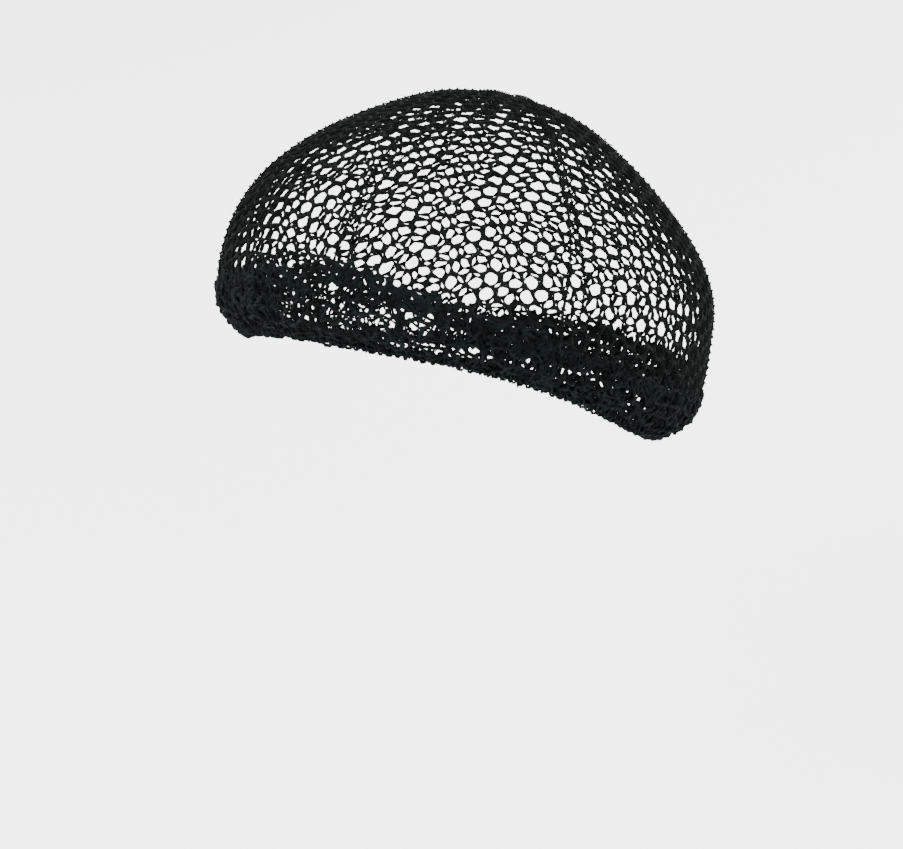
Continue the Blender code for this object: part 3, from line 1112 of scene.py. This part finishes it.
@dataclass
class BandLayer:
    """One gathered layer of net in the band."""

    name: str
    out: float
    cells: int
    row_pitch: float
    gathers: int
    depth: float
    bunching: float
    unevenness: float
    seed: int
    foot: float = 2.2
    lowest: float = 1.0
    over: float = 2.0
    girth: float = 1.0
    girth_spread: float = 0.10
    sag: float = 0.35
    lift_spread: float = 0.30
    cell: float = 6.6
    slack: float = 1.15
    dip: float = 1.8
    edge_wander: float = 1.6
    edge_ripple: float = 1.2
    windows: tuple[Window, ...] = ()

    def build(self, form: CrownForm, strand: Pattern, knot: Pattern) -> bpy.types.Object:
        """Build the layer.

        Args:
            form: The form of the cap.
            strand: The pattern of a strand.
            knot: The pattern of a knot.

        Returns:
            The piece.
        """
        rng = np.random.default_rng(self.seed)
        rows = int((form.band_front + self.over) / self.row_pitch) + 2
        net = ZigzagRows(rows, 2 * self.cells, first_lean=1.0, closed=True)
        up = self.foot + net.heights(self.row_pitch)
        turn = math.tau * np.arange(net.columns) / net.columns
        turn = turn + rng.normal(0.0, self.unevenness, up.shape) / form.half_width
        up = up + rng.normal(0.0, self.unevenness, up.shape)
        turn, up = turn.ravel(), up.ravel()
        places, normals = self._lay(form, turn, np.maximum(up, self.lowest), rng)
        inside = self._inside(form, turn, up)
        strands = net.strands()
        strands = strands[inside[strands].all(axis=1)]
        first, last = places[strands[:, 0]], places[strands[:, 1]]
        bow = rng.normal(0.0, self.sag, (len(first), 3))
        girth = self.girth * rng.normal(1.0, self.girth_spread, len(first))
        work = YarnWork()
        work.strands(strand, first, last, normals[strands[:, 0]], girth, bow)
        work.knots(knot, places[inside], normals[inside], rng)
        piece = work.finish(self.name, BAND_FINISH, Slot.BAND)
        return piece

    def _inside(self, form: CrownForm, turn: Array, up: Array) -> Array:
        """Find the corners below the layer's edge and outside its windows.

        Args:
            form: The form of the cap.
            turn: Turns of the corners.
            up: Heights of the corners above the rim.

        Returns:
            True for each corner that is kept.
        """
        top = self._top(form, turn)
        inside = up < top
        # Two ripples up the sides of the windows, in degrees of turn.
        ragged = 2.2 * np.sin(0.45 * up + self.seed) + 1.5 * np.sin(1.1 * up)
        for window in self.windows:
            inside &= ~window.misses(turn, up / top, ragged)
        return inside

    def _top(self, form: CrownForm, turn: Array) -> Array:
        """Follow the layer's wandering upper edge.

        Args:
            form: The form of the cap.
            turn: Turns, in radians.

        Returns:
            The edge's height above the rim there.
        """
        wander = self.edge_wander * np.sin(7.0 * turn + self.seed)
        wander = wander + self.edge_ripple * np.sin(17.0 * turn + 1.0)
        dip = self.dip * form.front_share(turn)
        return form.band_height(turn) + self.over + wander - dip

    def _lay(
        self, form: CrownForm, turn: Array, up: Array, rng: np.random.Generator
    ) -> tuple[Array, Array]:
        """Lay the layer in gathers.

        Args:
            form: The form of the cap.
            turn: Turns of the corners.
            up: Heights of the corners above the rim.
            rng: The source of chance.

        Returns:
            Places and outward directions.
        """
        share = np.clip(up / self._top(form, turn), 0.0, 1.0)
        full = np.sin(math.pi * share**0.85) ** 0.85
        # The gathers are uneven: they bunch here and there, and lean as they rise.
        phase = self.gathers * turn + 1.3 * np.sin(5.0 * turn + self.seed)
        phase = phase + 1.5 * share
        crest = np.cos(phase) + 0.5 * np.cos(1.7 * phase + self.seed)
        out = self.out * (0.1 + 0.9 * full) + self.depth * full * crest
        out = out + rng.normal(0.0, self.lift_spread, len(turn))
        turn = turn + self.bunching * full * np.sin(phase) / self.gathers
        return form.place(turn, up, out)


@dataclass(frozen=True)
class LoopPass:
    """One pass of loops over the rim's cord: its height above it and its loops' size."""

    lift: float
    size: float


@dataclass
class ElasticRim:
    """The rim: an elastic cord with yarn looped closely over it."""

    name: str = "rim_elastic_looped"
    node: str = "rim_elastic"
    up: float = 1.9
    loops: int = 168
    cord_steps: int = 200
    cord_girth: float = 2.3
    loop_width: float = 1.75
    loop_spread: float = 0.12
    turn_spread: float = 0.003
    passes: tuple[LoopPass, ...] = (
        LoopPass(lift=0.0, size=1.0),
        LoopPass(lift=0.0, size=0.92),
        LoopPass(lift=2.6, size=0.95),
    )
    slant: float = 26.0
    slant_spread: float = 8.0
    picots: float = 0.3
    picot_size: float = 1.12
    nubs: float = 0.6
    nub_size: float = 1.15
    nub_sizes: tuple[float, float] = (0.8, 1.3)
    nub_drops: tuple[float, float] = (0.9, 1.9)
    seed: int = 31

    def build(
        self, form: CrownForm, cord: Pattern, loop: Pattern, knot: Pattern
    ) -> bpy.types.Object:
        """Build the rim.

        Args:
            form: The form of the cap.
            cord: The pattern of a strand whose copies meet.
            loop: The pattern of a loop of yarn.
            knot: The pattern of a knot.

        Returns:
            The piece.
        """
        rng = np.random.default_rng(self.seed)
        work = YarnWork()
        turn = math.tau * np.arange(self.cord_steps) / self.cord_steps
        path, normal = form.place(turn, np.full_like(turn, self.up))
        work.cord(cord, path, normal, self.cord_girth, closed=True)
        for number, loops in enumerate(self.passes):
            side = -1.0 if number % 2 else 1.0
            self._loop_over(form, work, loop, loops, side, rng)
        self._tie_nubs(form, work, knot, rng)
        return work.finish(self.name, ELASTIC_FINISH, Slot.ELASTIC)

    def _tie_nubs(
        self, form: CrownForm, work: YarnWork, knot: Pattern, rng: np.random.Generator
    ) -> None:
        """Tie small nubs of yarn along the lower edge, here and there.

        Args:
            form: The form of the cap.
            work: The yarn work.
            knot: The pattern of a knot.
            rng: The source of chance.
        """
        turn = math.tau * (np.arange(self.loops) + 0.25) / self.loops
        turn = turn[rng.random(self.loops) < self.nubs]
        place, normal = form.place(turn, np.full(len(turn), self.up))
        above, _ = form.place(turn, np.full(len(turn), self.up + 1.0))
        drop = rng.uniform(*self.nub_drops, len(turn))[:, None]
        spots = place - (above - place) * drop
        size = self.nub_size * rng.uniform(*self.nub_sizes, len(turn))[:, None, None]
        side = np.cross(above - place, normal)
        axes = np.stack([side, normal, above - place], axis=1) * size
        work.add(knot, spots, axes)

    def _loop_over(
        self,
        form: CrownForm,
        work: YarnWork,
        loop: Pattern,
        loops: LoopPass,
        side: float,
        rng: np.random.Generator,
    ) -> None:
        """Throw one pass of loops over the cord.

        Args:
            form: The form of the cap.
            work: The yarn work.
            loop: The pattern of a loop.
            loops: The pass.
            side: 1 or, where its loops fall between those before and slant back, -1.
            rng: The source of chance.
        """
        count = self.loops
        shift = 0.5 if side < 0.0 else 0.0
        turn = math.tau * (np.arange(count) + shift) / count
        turn = turn + rng.normal(0.0, self.turn_spread, count)
        up = np.full(count, self.up + loops.lift)
        path, normal = form.place(turn, up)
        above, _ = form.place(turn, up + 1.0)
        upward = unit(above - path)
        along = np.cross(upward, normal)
        slant = side * self.slant + rng.normal(0.0, self.slant_spread, count)
        slant = np.radians(slant)[:, None]
        through = along * np.cos(slant) + upward * np.sin(slant)
        high = np.cross(normal, through)
        high *= np.sign(np.sum(high * upward, axis=1, keepdims=True))
        size = loops.size * self.loop_width * rng.normal(1.0, self.loop_spread, count)
        size *= np.where(rng.random(count) < self.picots, self.picot_size, 1.0)
        size = size[:, None]
        out = np.cross(high, through)
        out *= np.sign(np.sum(out * normal, axis=1, keepdims=True))
        axes = np.stack([out * size, high * size, np.cross(out, high)], axis=1)
        work.add(loop, path, axes)


@dataclass
class MeshCap:
    """The whole cap: its form, the yarn patterns and every piece."""

    form: CrownForm = field(default_factory=CrownForm)
    seams: tuple[float, float, float, float] = (0.0, 50.0, 115.0, 180.0)

    def build(self) -> None:
        """Build every piece of the cap."""
        strand = TwistedPair().model()
        fine = TwistedPair(sides=4, rings=3).model()
        single = TwistedPair(
            sides=4, rings=4, ply_radius=0.58, wrap_radius=0.20, plies=1
        ).model()
        cord = TwistedPair(spread=0.0, swell=0.0).model()
        knot = Knot(radius=1.16).model()
        small_knot = Knot(radius=1.05).model()
        loop = Loop().model()
        self._gores(strand, knot)
        self._seams(cord, loop)
        self._band(fine, single, small_knot)
        rim = ElasticRim()
        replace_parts(rim.build(self.form, cord, loop, small_knot), rim.node)

    def _gores(self, strand: Pattern, knot: Pattern) -> None:
        """Build the six gores.

        Args:
            strand: The pattern of a strand.
            knot: The pattern of a knot.
        """
        front, side, nape, back = self.seams
        cuts = {
            "front_left": (front, side, NetCut(Run.ALONG, 6.7, 6.1, -0.13)),
            "left": (side, nape, NetCut(Run.ALONG, 7.4, 6.4, 0.05)),
            "back_left": (nape, back, NetCut(Run.ACROSS, 7.2, 6.1, -0.10)),
            "back_right": (-back, -nape, NetCut(Run.ALONG, 7.0, 6.2, 0.10)),
            "right": (-nape, -side, NetCut(Run.ACROSS, 7.4, 6.2, 0.08)),
            "front_right": (-side, -front, NetCut(Run.ACROSS, 7.6, 5.7, -0.12)),
        }
        for seed, (place, (first, last, cut)) in enumerate(cuts.items(), start=11):
            gore = NetGore(place, first, last, cut, seed)
            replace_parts(gore.build(self.form, strand, knot), f"gore_{place}")

    def _seams(self, cord: Pattern, loop: Pattern) -> None:
        """Build the five seams.

        Args:
            cord: The pattern of a strand whose copies meet.
            loop: The pattern of a stitch.
        """
        front, side, nape, back = self.seams
        lines = {
            "front_back": ((front, back), 0.0),
            "front_left": ((side,), 4.0),
            "back_left": ((nape,), 4.0),
            "front_right": ((-side,), 4.0),
            "back_right": ((-nape,), 4.0),
        }
        for seed, (place, (turns, tip)) in enumerate(lines.items(), start=41):
            seam = SewnSeam(place, turns, tip, seed)
            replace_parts(seam.build(self.form, cord, loop), f"seam_{place}")

    def _band(self, fine: Pattern, single: Pattern, knot: Pattern) -> None:
        """Build the layers of the gathered band.

        Args:
            fine: The pattern of a twisted strand with few faces.
            single: The pattern of a strand of one ply.
            knot: The pattern of a knot.
        """
        layers = (
            BandLayer(
                "band_outer", out=0.7, cells=110, row_pitch=5.4, gathers=38, depth=0.8,
                bunching=0.7, unevenness=0.75, seed=3,
            ),
            BandLayer(
                "band_middle", out=-0.2, cells=112, row_pitch=5.2, gathers=31, depth=0.8,
                bunching=0.8, unevenness=0.9, seed=5, over=0.5,
            ),
            BandLayer(
                "band_core", out=-0.9, cells=156, row_pitch=3.9, gathers=23, depth=0.6,
                bunching=0.3, unevenness=0.55, seed=6, over=-1.0, girth=1.6,
                windows=(Window(-27.0, 33.0, 0.14, 0.76), Window(205.0, 262.0, 0.12, 1.0)),
            ),
            BandLayer(
                "band_inner", out=-1.7, cells=100, row_pitch=5.6, gathers=27, depth=0.7,
                bunching=0.5, unevenness=0.8, seed=8, over=-2.0, girth=1.1, slack=1.05,
                windows=(Window(-18.0, 24.0, 0.2, 0.7), Window(214.0, 252.0, 0.3, 1.0)),
            ),
        )
        for number, layer in enumerate(layers):
            piece = layer.build(self.form, single if number else fine, knot)
            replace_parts(piece, "gathered_band")


@dataclass
class Studio:
    """A pale floor, soft light and the camera at the photograph's angle."""

    azimuth: float = 31.0
    elevation: float = 32.0
    roll: float = -4.5
    distance: float = 853.0
    lens: float = 85.0
    sensor: float = 36.0
    image_width: float = 903.0
    image_height: float = 849.0
    origin_x: float = 458.0
    origin_y: float = 369.0
    floor_drop: float = 300.0
    floor_size: float = 12.0
    paper: tuple[float, float, float] = (0.95, 0.95, 0.95)
    paper_roughness: float = 0.9
    glow: float = 3.0

    def build(self) -> None:
        """Build the studio."""
        self._camera()
        self._floor()
        self._light("key_light", (-0.9, -1.3, 1.5), size=1.1, watts=90.0)
        self._light("fill_light", (1.5, -1.0, 0.8), size=1.3, watts=45.0)
        self._light("back_light", (0.4, 1.4, 1.3), size=1.0, watts=50.0)
        world = bpy.data.worlds.new("studio")
        world.use_nodes = True
        background = world.node_tree.nodes["Background"]
        fill_inputs(background, {"Color": (1.0, 1.0, 1.0, 1.0), "Strength": self.glow})
        bpy.context.scene.world = world

    def _camera(self) -> None:
        """Place the camera so that the rim's middle is seen where the photo has it."""
        turn, rise, roll = map(math.radians, (self.azimuth, self.elevation, self.roll))
        look = -Vector(
            (
                math.sin(turn) * math.cos(rise),
                -math.cos(turn) * math.cos(rise),
                math.sin(rise),
            )
        )
        right = look.cross(Vector((0.0, 0.0, 1.0))).normalized()
        up = right.cross(look)
        right, up = (
            right * math.cos(roll) + up * math.sin(roll),
            up * math.cos(roll) - right * math.sin(roll),
        )
        pixel = self.sensor / self.lens / self.image_width * self.distance
        aside = (self.origin_x - 0.5 * self.image_width) * pixel
        below = (self.origin_y - 0.5 * self.image_height) * pixel
        eye = -(right * aside - up * below + look * self.distance)
        lens = bpy.data.cameras.new("camera")
        lens.lens = self.lens
        lens.sensor_width = self.sensor
        camera = bpy.data.objects.new("camera", lens)
        bpy.context.collection.objects.link(camera)
        axes = Matrix((right, up, -look)).transposed().to_4x4()
        camera.matrix_world = Matrix.Translation(eye * MM) @ axes
        bpy.context.scene.camera = camera

    def _floor(self) -> None:
        """Lay the floor well below the cap, so that no shadow shows on it."""
        bpy.ops.object.select_all(action="DESELECT")
        bpy.ops.mesh.primitive_plane_add(
            size=self.floor_size, location=(0, 0, -self.floor_drop * MM)
        )
        floor = bpy.context.object
        floor.name = "floor"
        paper = bpy.data.materials.new("paper")
        paper.use_nodes = True
        shader = paper.node_tree.nodes["Principled BSDF"]
        fill_inputs(
            shader,
            {"Base Color": (*self.paper, 1.0), "Roughness": self.paper_roughness},
        )
        floor.data.materials.append(paper)

    @staticmethod
    def _light(
        name: str, at: tuple[float, float, float], size: float, watts: float
    ) -> None:
        """Hang a soft light that looks at the cap.

        Args:
            name: Name of the light.
            at: Where it hangs, in metres.
            size: Its side, in metres.
            watts: Its power.
        """
        lamp = bpy.data.lights.new(name, "AREA")
        lamp.size = size
        lamp.energy = watts
        light = bpy.data.objects.new(name, lamp)
        bpy.context.collection.objects.link(light)
        light.location = at
        light.rotation_mode = "QUATERNION"
        light.rotation_quaternion = Vector(at).to_track_quat("Z", "Y")


def main() -> None:
    """Dress the cap."""
    logging.basicConfig(level=logging.INFO, format="%(name)s: %(message)s")
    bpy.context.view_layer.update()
    Studio().build()
    MeshCap().build()


if __name__ == "__main__":
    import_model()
    main()
